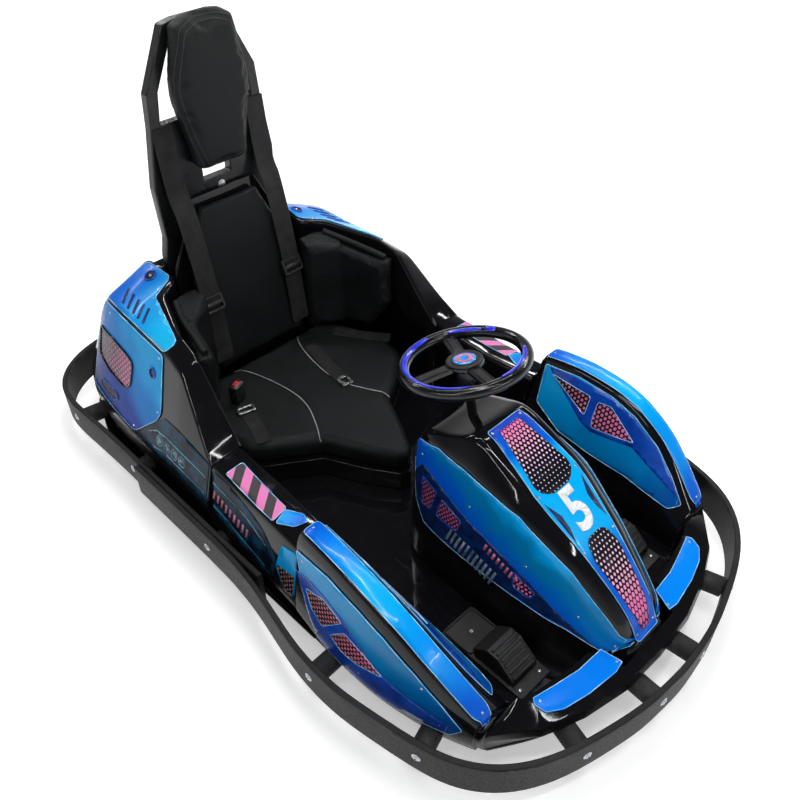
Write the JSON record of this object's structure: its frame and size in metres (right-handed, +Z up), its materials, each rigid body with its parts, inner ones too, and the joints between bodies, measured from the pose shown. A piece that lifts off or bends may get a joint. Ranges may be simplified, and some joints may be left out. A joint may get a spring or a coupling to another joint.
{
  "type": "electric go-kart",
  "caption": "low one-seat kart with a tapered steering console, blue-plated black shell, padded seat with tall back frame, and a plastic band all round",
  "frame": {"origin": "centre of the bounding box at floor level", "axes": "X forward, Y to the left, Z up"},
  "size_m": [1.914, 1.1388, 1.15],
  "materials": {
    "body_black": "gloss black moulded shell",
    "blue_plate": "printed gloss plate, sky blue to deep blue",
    "sill_pad": "grip sheet with diagonal pink stripes",
    "band_black": "matte black plastic band",
    "mount_rubber": "black rubber",
    "seat_leather": "soft black artificial leather",
    "frame_steel": "black powder coat",
    "webbing": "black woven webbing",
    "buckle_plastic": "black plastic",
    "pedal_black": "black coated steel",
    "wheel_black": "gloss black grip with blue inlays",
    "rim_metal": "cast aluminium",
    "tyre_rubber": "smooth kart tyre",
    "block_grey": "plain block"
  },
  "bodies": {
    "chassis": {"floor_tray": "body_black", "front_deck": "body_black", "console_shell": "body_black", "side_pod_left": "body_black", "side_pod_right": "body_black", "sills": "body_black", "rear_pod_left": "body_black", "rear_pod_right": "body_black", "rear_deck": "body_black", "seat_shell": "body_black", "console_top_plate": "blue_plate", "console_side_plates": "blue_plate", "pod_strips": "blue_plate", "pod_side_plates": "blue_plate", "rear_pod_plates": "blue_plate", "front_plates": "blue_plate", "sill_pads": "sill_pad", "bumper_front_band": "band_black", "bumper_rear_band": "band_black", "bumper_mounts": "mount_rubber", "seat_cushion": "seat_leather", "back_pad": "seat_leather", "seat_side_pads": "seat_leather", "headrest": "seat_leather", "back_frame": "frame_steel", "chassis_frame": "frame_steel", "steering_support": "frame_steel", "shoulder_straps": "webbing", "lap_straps": "webbing", "harness_buckles": "buckle_plastic", "pedal_left": "pedal_black", "pedal_right": "pedal_black", "battery_block": "block_grey", "motor_block": "block_grey"},
    "steering": {"steering_wheel": "wheel_black", "steering_column": "frame_steel"},
    "front_knuckle_left": {"knuckle_left": "frame_steel"},
    "front_wheel_left": {"rim_front_left": "rim_metal", "tyre_front_left": "tyre_rubber"},
    "rear_wheel_left": {"rim_rear_left": "rim_metal", "tyre_rear_left": "tyre_rubber"},
    "front_knuckle_right": {"knuckle_right": "frame_steel"},
    "front_wheel_right": {"rim_front_right": "rim_metal", "tyre_front_right": "tyre_rubber"},
    "rear_wheel_right": {"rim_rear_right": "rim_metal", "tyre_rear_right": "tyre_rubber"}
  },
  "joints": [
    {"name": "steering_turn", "type": "hinge", "parent": "chassis", "child": "steering", "pos_m": [0.29, 0, 0.605], "axis": [-0.2419, 0, 0.9703], "range_deg": [-90, 90]},
    {"name": "knuckle_turn_left", "type": "hinge", "parent": "chassis", "child": "front_knuckle_left", "pos_m": [0.5, 0.354, 0.11], "axis": [0, 0, 1], "range_deg": [-18, 18]},
    {"name": "front_wheel_spin_left", "type": "hinge", "parent": "front_knuckle_left", "child": "front_wheel_left", "pos_m": [0.5, 0.412, 0.11], "axis": [0, 1, 0], "continuous": true},
    {"name": "rear_wheel_spin_left", "type": "hinge", "parent": "chassis", "child": "rear_wheel_left", "pos_m": [-0.59, 0.352, 0.13], "axis": [0, 1, 0], "continuous": true},
    {"name": "knuckle_turn_right", "type": "hinge", "parent": "chassis", "child": "front_knuckle_right", "pos_m": [0.5, -0.354, 0.11], "axis": [0, 0, 1], "range_deg": [-18, 18]},
    {"name": "front_wheel_spin_right", "type": "hinge", "parent": "front_knuckle_right", "child": "front_wheel_right", "pos_m": [0.5, -0.412, 0.11], "axis": [0, 1, 0], "continuous": true},
    {"name": "rear_wheel_spin_right", "type": "hinge", "parent": "chassis", "child": "rear_wheel_right", "pos_m": [-0.59, -0.352, 0.13], "axis": [0, 1, 0], "continuous": true}
  ],
  "couplings": [
    {"joint": "steering_turn", "follows": "knuckle_turn_left", "ratio": 5},
    {"joint": "knuckle_turn_right", "follows": "knuckle_turn_left", "ratio": 1}
  ]
}
